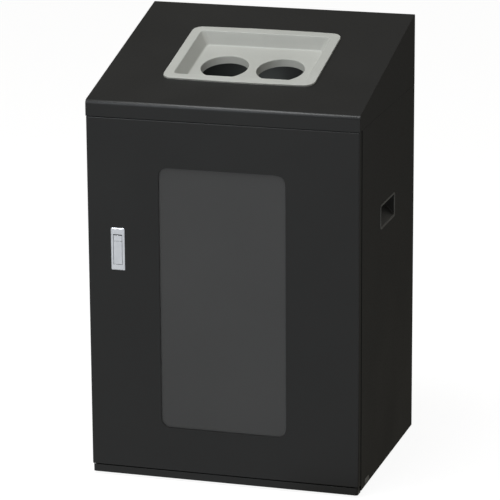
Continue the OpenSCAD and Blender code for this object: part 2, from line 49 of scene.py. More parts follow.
class Mat:
    """A material with a Principled shader and helpers for its procedural detail."""

    def __init__(self, name, **principled):
        self.mat = bpy.data.materials.new(name)
        self.mat.use_nodes = True
        self.nt = self.mat.node_tree
        self.bsdf = next(n for n in self.nt.nodes if n.type == "BSDF_PRINCIPLED")
        for key, value in principled.items():
            self.bsdf.inputs[key.replace("_", " ")].default_value = value
        self.coord = self.nt.nodes.new("ShaderNodeTexCoord").outputs["Object"]

    def node(self, kind, **values):
        n = self.nt.nodes.new(kind)
        for key, value in values.items():
            if key.startswith("p_"):
                setattr(n, key[2:], value)
            else:
                n.inputs[key.replace("_", " ")].default_value = value
        return n

    def link(self, a, b):
        self.nt.links.new(a, b)

    def scaled(self, scale):
        m = self.node("ShaderNodeMapping")
        m.inputs["Scale"].default_value = scale
        self.link(self.coord, m.inputs["Vector"])
        return m.outputs["Vector"]

    def noise(self, scale, detail=2.0, rough=0.5, vector=None, distortion=0.0):
        n = self.node("ShaderNodeTexNoise")
        n.inputs["Scale"].default_value = scale
        n.inputs["Detail"].default_value = detail
        n.inputs["Roughness"].default_value = rough
        n.inputs["Distortion"].default_value = distortion
        self.link(vector or self.coord, n.inputs["Vector"])
        return n.outputs["Fac"]

    def cells(self, scale, feature="F1", smooth=None):
        n = self.node("ShaderNodeTexVoronoi")
        n.feature = feature
        n.inputs["Scale"].default_value = scale
        self.link(self.coord, n.inputs["Vector"])
        return n.outputs["Distance"]

    def remap(self, value, lo, hi, a=0.0, b=1.0):
        n = self.node("ShaderNodeMapRange")
        n.inputs["From Min"].default_value = lo
        n.inputs["From Max"].default_value = hi
        n.inputs["To Min"].default_value = a
        n.inputs["To Max"].default_value = b
        self.link(value, n.inputs["Value"])
        return n.outputs["Result"]

    def math(self, op, a, b):
        n = self.node("ShaderNodeMath")
        n.operation = op
        for i, v in enumerate((a, b)):
            if isinstance(v, (int, float)):
                n.inputs[i].default_value = v
            else:
                self.link(v, n.inputs[i])
        return n.outputs["Value"]

    def mix(self, fac, a, b):
        n = self.node("ShaderNodeMix")
        n.data_type = "RGBA"
        self.link(fac, n.inputs["Factor"])
        for sock, v in ((n.inputs[6], a), (n.inputs[7], b)):
            if isinstance(v, (tuple, list)):
                sock.default_value = (*v[:3], 1.0)
            else:
                self.link(v, sock)
        return n.outputs[2]

    def colour(self, out):
        self.link(out, self.bsdf.inputs["Base Color"])

    def roughness(self, out):
        self.link(out, self.bsdf.inputs["Roughness"])

    def bump(self, height, strength, distance):
        b = self.node("ShaderNodeBump")
        b.inputs["Strength"].default_value = strength
        b.inputs["Distance"].default_value = distance
        self.link(height, b.inputs["Height"])
        self.link(b.outputs["Normal"], self.bsdf.inputs["Normal"])
        return b


# ------------------------------------------------------------------ materials


def powder_coat(name, dark, light, rough=(0.33, 0.43)):
    """Satin powder coat: orange peel, a finer grain in it, faint cloudiness."""
    m = Mat(name, Specular_IOR_Level=0.36)
    peel = m.noise(260, 3, 0.55)
    grain = m.noise(1500, 2, 0.6)
    cloud = m.noise(7, 3, 0.5)
    fleck = m.remap(m.noise(2600, 1, 0.5), 0.62, 0.74)
    base = m.mix(m.remap(cloud, 0.32, 0.68), dark, light)
    m.colour(m.mix(m.math("MULTIPLY", fleck, 0.35), base, tuple(c * 2.2 + 0.004 for c in light)))
    m.roughness(m.remap(m.math("ADD", m.math("MULTIPLY", peel, 0.5), m.math("MULTIPLY", cloud, 0.5)), 0.35, 0.65, *rough))
    m.bump(m.math("ADD", peel, m.math("MULTIPLY", grain, 0.35)), 0.22, 0.00012)
    return m.mat


def zinc(name, tint=(0.56, 0.57, 0.58), rough=(0.28, 0.46)):
    """Zinc-plated steel: faint spangle, uneven brightness."""
    m = Mat(name, Metallic=1.0)
    cloud = m.noise(90, 3, 0.6)
    spangle = m.cells(420)
    dark = tuple(c * 0.72 for c in tint)
    m.colour(m.mix(m.remap(m.math("ADD", m.math("MULTIPLY", cloud, 0.7), m.math("MULTIPLY", spangle, 0.3)), 0.3, 0.65), dark, tint))
    m.roughness(m.remap(cloud, 0.3, 0.7, *rough))
    m.bump(m.noise(1300, 2, 0.6), 0.12, 0.00006)
    return m.mat


def silver_plate(name):
    """Satin plated die casting: fine vertical polish lines, soft cloudiness."""
    m = Mat(name, Metallic=1.0)
    lines = m.noise(1.0, 3, 0.6, vector=m.scaled((5200, 5200, 130)))
    cloud = m.noise(60, 2, 0.5)
    tone = m.math("ADD", m.math("MULTIPLY", lines, 0.55), m.math("MULTIPLY", cloud, 0.45))
    m.colour(m.mix(m.remap(tone, 0.3, 0.7), (0.66, 0.672, 0.71), (0.83, 0.84, 0.87)))
    m.roughness(m.remap(tone, 0.3, 0.7, 0.30, 0.44))
    m.bump(lines, 0.10, 0.00004)
    return m.mat


def moulded(name, dark, light, rough=(0.42, 0.56), grain=1700, strength=0.25, spec=0.5, recess_shade_x=None):
    """Moulded plastic: spark-eroded grain in the mould, faint flow marks."""
    m = Mat(name, Specular_IOR_Level=spec)
    fine = m.noise(grain, 2, 0.55)
    pits = m.cells(grain * 0.55)
    flow = m.noise(14, 3, 0.5, distortion=0.6)
    base = m.mix(m.remap(flow, 0.3, 0.7), dark, light)
    if recess_shade_x:
        # painted shade: inside the bead the recess is painted at 0.17 of the colour, and the outermost part keeps the
        # plain pale colour
        n = m.node("ShaderNodeSeparateXYZ")
        m.link(m.coord, n.inputs[0])
        out = m.math("ADD", m.math("ABSOLUTE", n.outputs["X"], 0.0), m.math("MULTIPLY", flow, 0.0004))
        base = m.mix(m.remap(out, recess_shade_x[0], recess_shade_x[1]), tuple(c * 0.17 for c in dark), base)
    speck = m.remap(m.noise(grain * 0.8, 1, 0.5), 0.60, 0.74)
    m.colour(m.mix(m.math("MULTIPLY", speck, 0.30), base, tuple(c * 0.72 for c in dark)))
    m.roughness(m.remap(m.math("ADD", m.math("MULTIPLY", fine, 0.5), m.math("MULTIPLY", flow, 0.5)), 0.35, 0.65, *rough))
    m.bump(m.math("ADD", fine, m.math("MULTIPLY", pits, 0.5)), strength, 0.00008)
    return m.mat


def rubber(name):
    m = Mat(name, Specular_IOR_Level=0.35)
    dust = m.noise(70, 4, 0.6)
    m.colour(m.mix(m.remap(dust, 0.45, 0.8), (0.011, 0.011, 0.011), (0.040, 0.039, 0.037)))
    m.roughness(m.remap(m.noise(500, 2, 0.6), 0.3, 0.7, 0.62, 0.85))
    m.bump(m.noise(1100, 3, 0.6), 0.35, 0.0001)
    return m.mat


def smoked(name):
    """Smoked translucent sheet: satin face, a faint haze in it."""
    m = Mat(name, IOR=1.49, Specular_IOR_Level=0.5)
    m.bsdf.inputs["Roughness"].default_value = 0.16
    haze = m.noise(5, 3, 0.5)
    fine = m.noise(1800, 2, 0.5)
    m.colour(m.mix(m.remap(haze, 0.3, 0.7), (0.073, 0.073, 0.073), (0.083, 0.083, 0.083)))
    m.roughness(m.remap(m.noise(160, 2, 0.5), 0.3, 0.7, 0.20, 0.27))
    m.bsdf.inputs["Alpha"].default_value = 0.72
    m.bump(m.math("ADD", fine, m.noise(90, 2, 0.5)), 0.05, 0.00008)
    return m.mat


BLACK = powder_coat("powder_coat_black", (0.0105, 0.0106, 0.0103), (0.0135, 0.0136, 0.0130))
BLACK_IN = powder_coat("powder_coat_inside", (0.0115, 0.0115, 0.0115), (0.0150, 0.0150, 0.0148), (0.45, 0.58))
ZINC = zinc("zinc_plate")
SPRING = zinc("spring_steel", (0.62, 0.62, 0.63), (0.20, 0.32))
SILVER = silver_plate("satin_silver_plate")
TRAY = moulded("tray_pale_grey", (0.430, 0.435, 0.405), (0.465, 0.470, 0.440), (0.44, 0.58), 1500, 0.30)
HANDLE = moulded("handle_black_plastic", (0.014, 0.0145, 0.014), (0.021, 0.0215, 0.021), (0.30, 0.42), 1300, 0.30, 0.5)
PLUG = moulded("plug_grey", (0.400, 0.400, 0.390), (0.460, 0.460, 0.450), (0.40, 0.55), 1500, 0.35, 0.5)
CONTAINER = moulded("container_grey", (0.175, 0.190, 0.195), (0.215, 0.230, 0.235), (0.42, 0.58), 1200, 0.30)
# the handle's cup gets painted shade: darker inside the bead, by position
GRIP = moulded("handle_dark_grey", (0.130, 0.130, 0.121), (0.160, 0.160, 0.149), (0.36, 0.50), 1300, 0.30, 0.5, recess_shade_x=(0.2492, 0.2501))
BUSH = moulded("bearing_plastic", (0.016, 0.016, 0.016), (0.026, 0.026, 0.026), (0.30, 0.42), 1500, 0.2)
RUBBER = rubber("black_rubber")
SMOKED = smoked("smoked_sheet")


def dress(name, material, bevel=None, segments=2, angle=35):
    """A CAD node keeps its shape: it gets its material, and its edges are broken by a small bevel."""
    o = NODES[name]
    o.data.materials.clear()
    o.data.materials.append(material)
    if bevel:
        w = o.modifiers.new("weld", "WELD")
        w.merge_threshold = 1e-6
        b = o.modifiers.new("bevel", "BEVEL")
        b.width = bevel * MM
        b.segments = segments
        b.limit_method = "ANGLE"
        b.angle_limit = math.radians(angle)
        b.use_clamp_overlap = True
        b.harden_normals = False
        b.miter_outer = "MITER_ARC"
    return o


dress("hood", BLACK, 0.3, 3)
dress("base_pan", BLACK, 0.5, 3)
dress("door_skin", BLACK, 0.3, 3)
for n in ("side_panel_left", "side_panel_right", "back_panel"):
    dress(n, BLACK, 0.25, 2)
for n in ("header_rail", "door_inner_panel", "window_retaining_frame"):
    dress(n, BLACK_IN, 0.25, 2)
for n in ("hood_nuts", "tray_screws", "hinge_bracket_top", "hinge_bracket_bottom", "hinge_pin_top",
          "hinge_pin_bottom", "catch_magnets", "foot_nut_plates", "container_rails", "door_strike_plates",
          "window_studs", "window_nuts", "latch_lever_pin"):
    dress(n, ZINC, 0.2, 2)
for n in ("latch_housing", "latch_lever", "latch_button"):
    dress(n, SILVER, 0.35, 3)
dress("magnetic_catches", HANDLE, 0.3, 3)
dress("side_slot_plugs", PLUG, 0.3, 3)
for n in ("door_bushes", "hinge_thrust_washer"):
    dress(n, BUSH, 0.2, 2)
for n in ("door_bumpers", "window_gasket"):
    dress(n, RUBBER, 0.2, 2)
dress("window_pane", SMOKED, 0.3, 2)
for f in ("front_left", "front_right", "back_left", "back_right"):
    dress("foot_pad_" + f, RUBBER, 0.4, 3)

# ------------------------------------------------------------------ modelled pieces


def mesh_object(name, verts, faces, smooth=True):
    me = bpy.data.meshes.new(name)
    me.from_pydata([tuple(v) for v in verts], [], faces)
    me.validate()
    for p in me.polygons:
        p.use_smooth = smooth
    o = bpy.data.objects.new(name, me)
    scene.collection.objects.link(o)
    return o


def settle(o, sharp=38):
    """Turn a piece's modifiers into its mesh, mark its true edges, and even out its shading."""
    bpy.context.view_layer.update()
    me = bpy.data.meshes.new_from_object(o.evaluated_get(bpy.context.evaluated_depsgraph_get()))
    o.modifiers.clear()
    o.data = me
    for p in me.polygons:
        p.use_smooth = True
    me.set_sharp_from_angle(angle=math.radians(sharp))
    return o


def piece(o, body, material, slot, *nodes):
    o.data.materials.clear()
    o.data.materials.append(material)
    n = o.modifiers.new("even shading", "WEIGHTED_NORMAL")
    n.keep_sharp = True
    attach(o, body)
    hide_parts(*nodes)
    return o


def cut(o, cutter):
    """Take the cutter's shape out of a piece."""
    b = o.modifiers.new("cut", "BOOLEAN")
    b.operation = "DIFFERENCE"
    b.solver = "EXACT"
    b.object = cutter
    bpy.context.view_layer.update()
    me = bpy.data.meshes.new_from_object(o.evaluated_get(bpy.context.evaluated_depsgraph_get()))
    o.modifiers.clear()
    o.data = me
    bpy.data.objects.remove(cutter)
    return o


def ring(hx, hy, r, k=8, nx=28, ny=20):
    """A rectangle with round corners, anticlockwise, with the same number of points at any size."""
    pts = []
    centres = [(hx - r, hy - r), (-hx + r, hy - r), (-hx + r, -hy + r), (hx - r, -hy + r)]
    for c, (cx, cy) in enumerate(centres):
        arc = [(cx + r * math.cos(math.radians(90 * c + 90 * i / k)), cy + r * math.sin(math.radians(90 * c + 90 * i / k)))
               for i in range(k + 1)]
        pts += arc
        a = 90 * (c + 1)
        nx_c = centres[(c + 1) % 4]
        end = (nx_c[0] + r * math.cos(math.radians(a)), nx_c[1] + r * math.sin(math.radians(a)))
        n = nx if c in (0, 2) else ny
        pts += [(arc[-1][0] + (end[0] - arc[-1][0]) * i / n, arc[-1][1] + (end[1] - arc[-1][1]) * i / n) for i in range(1, n)]
    return np.array(pts)


def skin(rings, closed=True):
    """Faces between rings that have the same number of points. Returns the points and the faces."""
    n = len(rings[0])
    verts = np.concatenate(rings)
    faces = []
    for j in range(len(rings) - 1):
        for i in range(n if closed else n - 1):
            k = (i + 1) % n
            faces.append((j * n + i, j * n + k, (j + 1) * n + k, (j + 1) * n + i))
    return verts, faces


def shell(o, thickness):
    m = o.modifiers.new("wall", "SOLIDIFY")
    m.thickness = thickness * MM
    m.offset = -1
    m.use_even_offset = True
    m.use_quality_normals = True
    return o


# the slope of the hood: x across, s up the slope from the crease, n out of the sheet
SLOPE = math.atan2(104.0, 398.8)


def on_slope(pts):
    pts = np.asarray(pts, float)
    x, s, n = pts[:, 0], pts[:, 1], pts[:, 2]
    c, d = math.cos(SLOPE), math.sin(SLOPE)
    return np.stack([x, -198.8 + s * c - n * d, 696.0 + s * d + n * c], 1) * MM


def inlet_tray():
    rings = []

    def level(hx, hy, sc, r, n, crown):
        p = ring(hx, hy, r, 10, 36, 24)
        s = p[:, 1] + np.sign(p[:, 1]) * crown * (1 - np.clip(p[:, 0] / hx, -1, 1) ** 2) * np.clip(np.abs(p[:, 1]) / hy, 0, 1) ** 3
        rings.append(np.stack([p[:, 0], sc + s, np.full(len(p), n)], 1))

    # skirt, rounded outer edge of the rim, and the rim's face, very slightly dished towards its inner edge
    level(140.5, 103.5, 203.5, 17.0, 0.05, 3.5)
    level(140.4, 103.4, 203.5, 17.0, 1.0, 3.5)
    for a in (0, 18, 36, 54, 72, 90):
        i = 1.6 * (1 - math.cos(math.radians(a)))
        level(140.4 - i, 103.4 - i, 203.5, 17.0 - i, 1.88 + 1.6 * math.sin(math.radians(a)), 3.5)
    level(134.0, 97.5, 203.5, 14.0, 3.49, 2.4)
    level(128.0, 92.6, 203.5, 11.0, 3.47, 1.0)
    level(123.7, 89.2, 203.5, 9.0, 3.44, 0.0)
    # inner edge, sloping wall, and the fillet at the floor
    for a in (15.0, 31.0, 46.0, 62.0):
        x = 123.7 - 2.0 * math.sin(math.radians(a))
        level(x, x - 34.5, 203.5, 9.0 - a * 0.006, 1.44 + 2.0 * math.cos(math.radians(a)), 0)
    for f in (0.25, 0.5, 0.75):
        x = 121.93 - f * 10.66
        level(x, x - 34.5, 203.5, 8.6 - f * 0.8, 2.38 - f * 19.99, 0)
    for a in (62.0, 50.0, 37.0, 24.0, 12.0, 0.0):
        x = 107.3 + 4.5 * math.sin(math.radians(a))
        level(x, x - 34.5, 203.5, 4.0 + 4.2 * math.sin(math.radians(a)), -15.5 - 4.5 * math.cos(math.radians(a)), 0)
    verts, faces = skin(rings)
    n_ring = len(rings[0])
    last = (len(rings) - 1) * n_ring
    verts = list(map(tuple, verts))
    # the floor's two holes with rounded edges and their collars
    loops = []
    for cx in (-52.2, 52.2):
        hole = []
        count = 96
        profile = [(44.9 - 1.4 * math.sin(math.radians(a)), -21.4 + 1.4 * math.cos(math.radians(a))) for a in (0, 22, 45, 68, 90)]
        profile += [(43.47, -25.5), (43.44, -30.0), (43.4, -34.95)]
        start = len(verts)
        for rad, n in profile:
            for i in range(count):
                t = 2 * math.pi * i / count
                verts.append((cx + rad * math.cos(t), 197.0 + rad * math.sin(t), n))
        for j in range(len(profile) - 1):
            for i in range(count):
                k = (i + 1) % count
                # the collar's visible side is its inside
                faces.append((start + j * count + i, start + j * count + k, start + (j + 1) * count + k, start + (j + 1) * count + i))
        loops.append((start, count))
    o = mesh_object("inlet_tray_moulding", on_slope(verts), faces)
    bm = bmesh.new()
    bm.from_mesh(o.data)
    bm.verts.ensure_lookup_table()
    edges = []
    for start, count in [(last, n_ring)] + loops:
        for i in range(count):
            edges.append(bm.edges.get((bm.verts[start + i], bm.verts[start + (i + 1) % count])))
    made = bmesh.ops.triangle_fill(bm, use_beauty=True, use_dissolve=False, edges=edges)
    up = Vector((0, -math.sin(SLOPE), math.cos(SLOPE)))
    for f in made["geom"]:
        if isinstance(f, bmesh.types.BMFace):
            f.smooth = True
            f.normal_update()
            if f.normal.dot(up) < 0:
                f.normal_flip()
    bm.to_mesh(o.data)
    bm.free()
    shell(o, 2.3)
    settle(o, 42)
    return piece(o, "cabinet", TRAY, "pale_grey_plastic", "inlet_tray")


def inner_container():
    """Blow-moulded bin: drafted walls with shallow flutes, a step, a rolled rim and a grip at each end."""
    rings = []

    def level(hx, hy, r, z, flute=0.0):
        p = ring(hx, hy, r, 8, 44, 36)
        q = p.copy()
        if flute:
            for axis, other, half, where in ((0, 1, hy, (-120, -40, 40, 120)), (1, 0, hx, (-88, 0, 88))):
                on = np.abs(np.abs(p[:, other]) - half) < 0.01
                bump = np.zeros(len(p))
                for w in where:
                    u = np.clip(np.abs(p[:, axis] - w) / 26.0, 0, 1)
                    bump = np.maximum(bump, np.clip((1 - u) * 2.6, 0, 1))
                bump = bump * bump * (3 - 2 * bump)
                q[:, other] -= np.where(on, np.sign(p[:, other]) * bump * flute, 0)
        rings.append(np.stack([q[:, 0], 4.0 + q[:, 1], np.full(len(q), z)], 1))

    # the inner face, from the floor's edge up, then over the rim and down its outer face
    z0, z1 = 27.3, 598.3

    def wall(z):
        f = (z - z0) / (z1 - z0)
        return 187.0 + 25.0 * f, 147.0 + 17.0 * f

    for a in (0, 18, 36, 54, 72, 90):
        i = 12.0 * (1 - math.sin(math.radians(a)))
        hx, hy = wall(z0)
        level(hx - i, hy - i, max(26.0 - i, 6.0), z0 + 12.0 * (1 - math.cos(math.radians(a))))
    for z, fl in ((46, 0), (54, 0), (62, 1.2), (70, 2.4), (78, 2.6), (160, 2.6), (250, 2.6), (340, 2.6), (430, 2.6), (500, 2.6), (508, 2.4), (516, 1.2), (524, 0), (560, 0), (592, 0)):
        hx, hy = wall(z)
        level(hx, hy, 26.5 + 3.0 * (z - z0) / (z1 - z0), z, fl)
    hx, hy = wall(z1)
    for a in (0, 30, 60, 90):
        i = 3.0 * (1 - math.cos(math.radians(a)))
        level(hx + i, hy + i, 29.5 + i, z1 - 3.0 + 3.0 * math.sin(math.radians(a)))
    for a in (0, 30, 60, 90):
        i = 3.0 * math.sin(math.radians(a))
        level(217.0 + i, 169.0 + i, 33.0 + i, z1 - 3.0 + 3.0 * math.cos(math.radians(a)))
    level(220.0, 172.0, 36.0, 590.0)
    level(220.0, 172.0, 36.0, 584.4)
    verts, faces = skin(rings)
    # each ring runs anticlockwise and climbs inside the bin: the visible side is the inner one
    faces = [tuple(reversed(f)) for f in faces]
    verts = list(verts)
    faces.append(tuple(range(len(rings[0]))))
    o = mesh_object("inner_container_moulding", np.array(verts) * MM, faces)
    shell(o, 3.0)
    settle(o, 50)
    for sx in (-1, 1):
        p = ring(55.0, 15.0, 14.0, 10, 4, 2)
        a = np.stack([np.full(len(p), sx * 198.0), 4.0 + p[:, 0], 556.3 + p[:, 1]], 1)
        b = a.copy()
        b[:, 0] = sx * 226.0
        if sx < 0:
            a, b = b, a
        v, f = skin([a, b])
        n = len(p)
        f += [tuple(reversed(range(n))), tuple(range(n, 2 * n))]
        c = mesh_object("grip_cutter", v * MM, f)
        cut(o, c)
    settle(o, 40)
    return piece(o, "cabinet", CONTAINER, "container_grey", "inner_container")


def hand_hold(side):
    """Moulded cup: a rounded bead round its mouth, flush at its lower edge and deep at its upper edge."""
    rings = []
    yc, zc = 1.0, 478.0

    def level(y_half, z_lo, z_hi, r, x):
        p = ring(y_half, (z_hi - z_lo) / 2, r, 8, 14, 8)
        rings.append(np.stack([np.full(len(p), side * x), yc + p[:, 0], (z_lo + z_hi) / 2 + p[:, 1]], 1))

    # outside of the cup, from its back to the underside of the bead
    for d in (1.0, 0.6, 0.2, 0.0):
        level(50.1 - d, 483.6 + d, 498.3 - d, 3.0, 224.25 + 1.0 * (1 - math.sqrt(max(0.0, 1 - (1 - d) ** 2))) if d else 225.25)
    level(50.1, 470.0, 498.3, 3.0, 237.4)
    level(50.1, 457.9, 498.3, 2.0, 249.0)
    level(50.1, 457.9, 498.3, 2.0, 250.06)
    # bead
    level(52.2, 455.3, 500.7, 5.6, 250.06)
    for a in range(0, 181, 15):
        u = 1.95 * (1 - math.cos(math.radians(a)))
        level(52.5 - u, 455.0 + u, 501.0 - u, 6.0 - u * 0.7, 250.1 + 0.84 * math.sin(math.radians(a)))
    # inside: straight top and ends, sloping floor
    for d in (0.6, 2.0, 5.0, 9.0, 13.0, 17.0, 20.5):
        level(48.7 - 0.012 * d, 458.75 + 1.075 * d, 497.25, max(2.2, 3.2 - d * 0.05), 250.0 - d)
    for a in (0, 22, 45, 68, 90):
        k = 2.4 * (1 - math.cos(math.radians(a)))
        level(48.45 - k, 458.75 + 1.075 * 21.2 + k * 0.9, 497.25 - k, max(0.8, 2.2 - k * 0.5), 228.8 - 2.4 * math.sin(math.radians(a)))
    verts, faces = skin(rings)
    n = len(rings[0])
    faces.append(tuple(range(n)))
    faces.append(tuple(range((len(rings) - 1) * n, len(rings) * n)))
    o = mesh_object("hand_hold_" + ("right" if side > 0 else "left"), verts * MM, faces)
    bm = bmesh.new()
    bm.from_mesh(o.data)
    bmesh.ops.recalc_face_normals(bm, faces=bm.faces)
    bm.to_mesh(o.data)
    bm.free()
    settle(o, 46)
    return piece(o, "cabinet", GRIP, "handle_plastic", "carry_handle_" + ("right" if side > 0 else "left"))


def tube(points, radius, sides=14):
    """A round wire along points, with closed ends."""
    pts = [Vector(p) for p in points]
    n = len(pts)
    tang = [(pts[min(i + 1, n - 1)] - pts[max(i - 1, 0)]).normalized() for i in range(n)]
    ref = Vector((0, 0, 1)) if abs(tang[0].z) < 0.9 else Vector((1, 0, 0))
    u = (ref - tang[0] * ref.dot(tang[0])).normalized()
    verts, faces = [], []
    for i in range(n):
        u = (u - tang[i] * u.dot(tang[i])).normalized()
        w = tang[i].cross(u)
        for j in range(sides):
            a = 2 * math.pi * j / sides
            verts.append(tuple(pts[i] + radius * (math.cos(a) * u + math.sin(a) * w)))
    for i in range(n - 1):
        for j in range(sides):
            k = (j + 1) % sides
            faces.append((i * sides + j, i * sides + k, (i + 1) * sides + k, (i + 1) * sides + j))
    faces.append(tuple(reversed(range(sides))))
    faces.append(tuple(range((n - 1) * sides, n * sides)))
    return verts, faces


def helical_springs():
    lx, bz = -193.6, 447.9
    # compression spring behind the push button, with closed ends
    pts, turns, y0, y1 = [], 6.0, -193.4, -186.65
    steps = int(turns * 30)
    for i in range(steps + 1):
        f = i / steps
        a = 2 * math.pi * turns * f
        e = 0.12
        g = 0.5 * f * f / e if f < e else (f - e / 2 if f < 1 - e else (1 - e) - 0.5 * (1 - f) ** 2 / e)
        pts.append((lx + 2.5 * math.cos(a), y0 + (y1 - y0) * g / (1 - e), bz + 2.5 * math.sin(a)))
    v, f = tube([tuple(c * MM for c in p) for p in pts], 0.42 * MM, 12)
    o = settle(mesh_object("button_coil_spring", v, f), 50)
    piece(o, "door", SPRING, "spring_steel", "latch_button_spring")
    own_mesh(o)
    # torsion spring round the lever's pin, one leg back to the housing and one up behind the lever's plate
    py, pz = -195.4, 405.0
    pts = [(lx - 2.6, py + 2.2, pz + 9.0), (lx - 2.6, py + 2.2, pz + 6.0), (lx - 2.6, py + 2.2, pz + 3.0)]
    turns = 4.5
    steps = int(turns * 28)
    for i in range(steps + 1):
        a = -2 * math.pi * turns * i / steps
        pts.append((lx - 2.6 + 5.0 * i / steps, py + 2.2 * math.cos(a), pz + 2.2 * math.sin(a)))
    end = pts[-1]
    for d in (1.0, 2.5, 4.5, 6.5, 8.4):
        pts.append((lx + 2.4, py + 2.2 + d - 0.4, pz + 2.2 * math.sin(-2 * math.pi * turns) ))
    v, f = tube([tuple(c * MM for c in p) for p in pts], 0.40 * MM, 12)
    o = settle(mesh_object("lever_torsion_spring", v, f), 50)
    piece(o, "door", SPRING, "spring_steel", "latch_lever_spring")


def thread_stud(name, body, cx, cy, node):
    """Levelling stud: rounded hexagon, and a rolled thread above and below it."""
    rings, faces = [], []
    sides = 36
    pitch = 1.25
    z = 1.6
    zs = []
    while z < 29.45:
        zs.append(z)
        z += pitch / 6
    zs.append(29.5)
    verts = []
    for zz in zs:
        for j in range(sides):
            a = 2 * math.pi * j / sides
            ph = ((zz / pitch) - j / sides) % 1.0
            tri = abs(2 * ph - 1)
            depth = 0.62 * min(1.0, max(0.0, (tri - 0.12) / 0.76))
            fade = min(1.0, max(0.0, (29.5 - zz) / 1.2)) * 1.0
            r = 4.0 - depth * 1.0 - (1 - fade) * 0.5
            if 5.8 < zz < 14.0:
                r = 3.9
            verts.append((cx + r * math.cos(a), cy + r * math.sin(a), zz))
    n = len(zs)
    for i in range(n - 1):
        for j in range(sides):
            k = (j + 1) % sides
            faces.append((i * sides + j, i * sides + k, (i + 1) * sides + k, (i + 1) * sides + j))
    faces.append(tuple(reversed(range(sides))))
    faces.append(tuple(range((n - 1) * sides, n * sides)))
    # hexagon 14 across its flats, its corners turned off at both ends
    base = len(verts)
    hz = [(6.05, 6.75), (6.45, 8.08), (13.45, 8.08), (13.85, 6.75)]
    hs = 48
    for zz, rr in hz:
        for j in range(hs):
            a = 2 * math.pi * j / hs
            to_flat = ((a + math.pi / 6) % (math.pi / 3)) - math.pi / 6
            r = min(7.0 / math.cos(to_flat), rr if rr < 8 else 8.0)
            verts.append((cx + r * math.cos(a), cy + r * math.sin(a), zz))
    for i in range(3):
        for j in range(hs):
            k = (j + 1) % hs
            faces.append((base + i * hs + j, base + i * hs + k, base + (i + 1) * hs + k, base + (i + 1) * hs + j))
    faces.append(tuple(base + j for j in reversed(range(hs))))
    faces.append(tuple(base + 3 * hs + j for j in range(hs)))
    o = settle(mesh_object(name, np.array(verts) * MM, faces), 32)
    return piece(o, body, ZINC, "grey_zinc", node)


def cross_head(name, centre, axis, head_r, head_h, shaft_r, shaft_l, body, node_material, slot_name):
    """A pan-head screw with a cross recess. axis points out of the head."""
    profile = []
    for i in range(9):
        a = math.radians(90 * i / 8)
        profile.append((head_r * math.sin(a) ** 0.85, head_h - head_h * 0.62 * (1 - math.cos(a))))
    profile += [(head_r, 0.0), (shaft_r, 0.0), (shaft_r, -shaft_l)]
    sides = 32
    verts, faces = [(0, 0, profile[0][1])], []
    for r, z in profile[1:]:
        for j in range(sides):
            a = 2 * math.pi * j / sides
            verts.append((r * math.cos(a), r * math.sin(a), z))
    for j in range(sides):
        faces.append((0, 1 + j, 1 + (j + 1) % sides))
    m = len(profile) - 1
    for i in range(m - 1):
        for j in range(sides):
            k = (j + 1) % sides
            faces.append((1 + i * sides + j, 1 + (i + 1) * sides + j, 1 + (i + 1) * sides + k, 1 + i * sides + k))
    faces.append(tuple(1 + (m - 1) * sides + j for j in reversed(range(sides))))
    o = mesh_object(name, np.array(verts) * MM, faces)
    w, top, deep = head_r * 0.17, head_h + 0.2, head_h * 0.28
    arm = head_r * 0.62
    v = [(-arm, -w, top), (arm, -w, top), (arm, w, top), (-arm, w, top),
         (-arm * 0.55, -w * 0.6, deep), (arm * 0.55, -w * 0.6, deep), (arm * 0.55, w * 0.6, deep), (-arm * 0.55, w * 0.6, deep)]
    f = [(0, 1, 2, 3), (7, 6, 5, 4), (0, 4, 5, 1), (1, 5, 6, 2), (2, 6, 7, 3), (3, 7, 4, 0)]
    for turn in (0, 1):
        q = np.array(v) if not turn else np.array([(-y, x, z) for x, y, z in v])
        cut(o, mesh_object("recess_cutter", q * MM, f, False))
    o.data.transform(Matrix.Translation(Vector(centre) * MM) @ Vector(axis).to_track_quat("Z", "Y").to_matrix().to_4x4())
    settle(o, 34)
    return o


def join(name, objects):
    bm = bmesh.new()
    for o in objects:
        bm.from_mesh(o.data)
    me = bpy.data.meshes.new(name)
    bm.to_mesh(me)
    bm.free()
    for o in objects:
        bpy.data.objects.remove(o)
    o = bpy.data.objects.new(name, me)
    scene.collection.objects.link(o)
    for p in me.polygons:
        p.use_smooth = True
    me.set_sharp_from_angle(angle=math.radians(34))
    return o


inlet_tray()
inner_container()
hand_hold(1)
hand_hold(-1)
helical_springs()
for f, sx, sy in (("front_left", -1, -1), ("front_right", 1, -1), ("back_left", -1, 1), ("back_right", 1, 1)):
    thread_stud("levelling_stud_" + f, "foot_" + f, 205.0 * sx, 150.0 * sy, "foot_stud_" + f)
screws = [cross_head("screw", (-193.6, -181.95, z), (0, 1, 0), 3.0, 1.72, 1.4, 8.9, "door", ZINC, "grey_zinc") for z in (394.5, 460.0)]
piece(join("latch_screws", screws), "door", ZINC, "grey_zinc", "latch_fixing_screws")
screws = [cross_head("screw", (x, -166.0, 666.1), (0, 0, -1), 4.0, 2.35, 1.95, 9.4, "cabinet", ZINC, "grey_zinc") for x in (-180.0, 0.0, 180.0)]
piece(join("hood_fixing_screws", screws), "cabinet", ZINC, "grey_zinc", "hood_screws")

# ------------------------------------------------------------------ floor, light, camera


def plain(name, colour, rough=0.9):
    m = bpy.data.materials.new(name)
    m.use_nodes = True
    b = next(n for n in m.node_tree.nodes if n.type == "BSDF_PRINCIPLED")
    b.inputs["Base Color"].default_value = (*colour, 1)
    b.inputs["Roughness"].default_value = rough
    b.inputs["Specular IOR Level"].default_value = 0.1
    return m


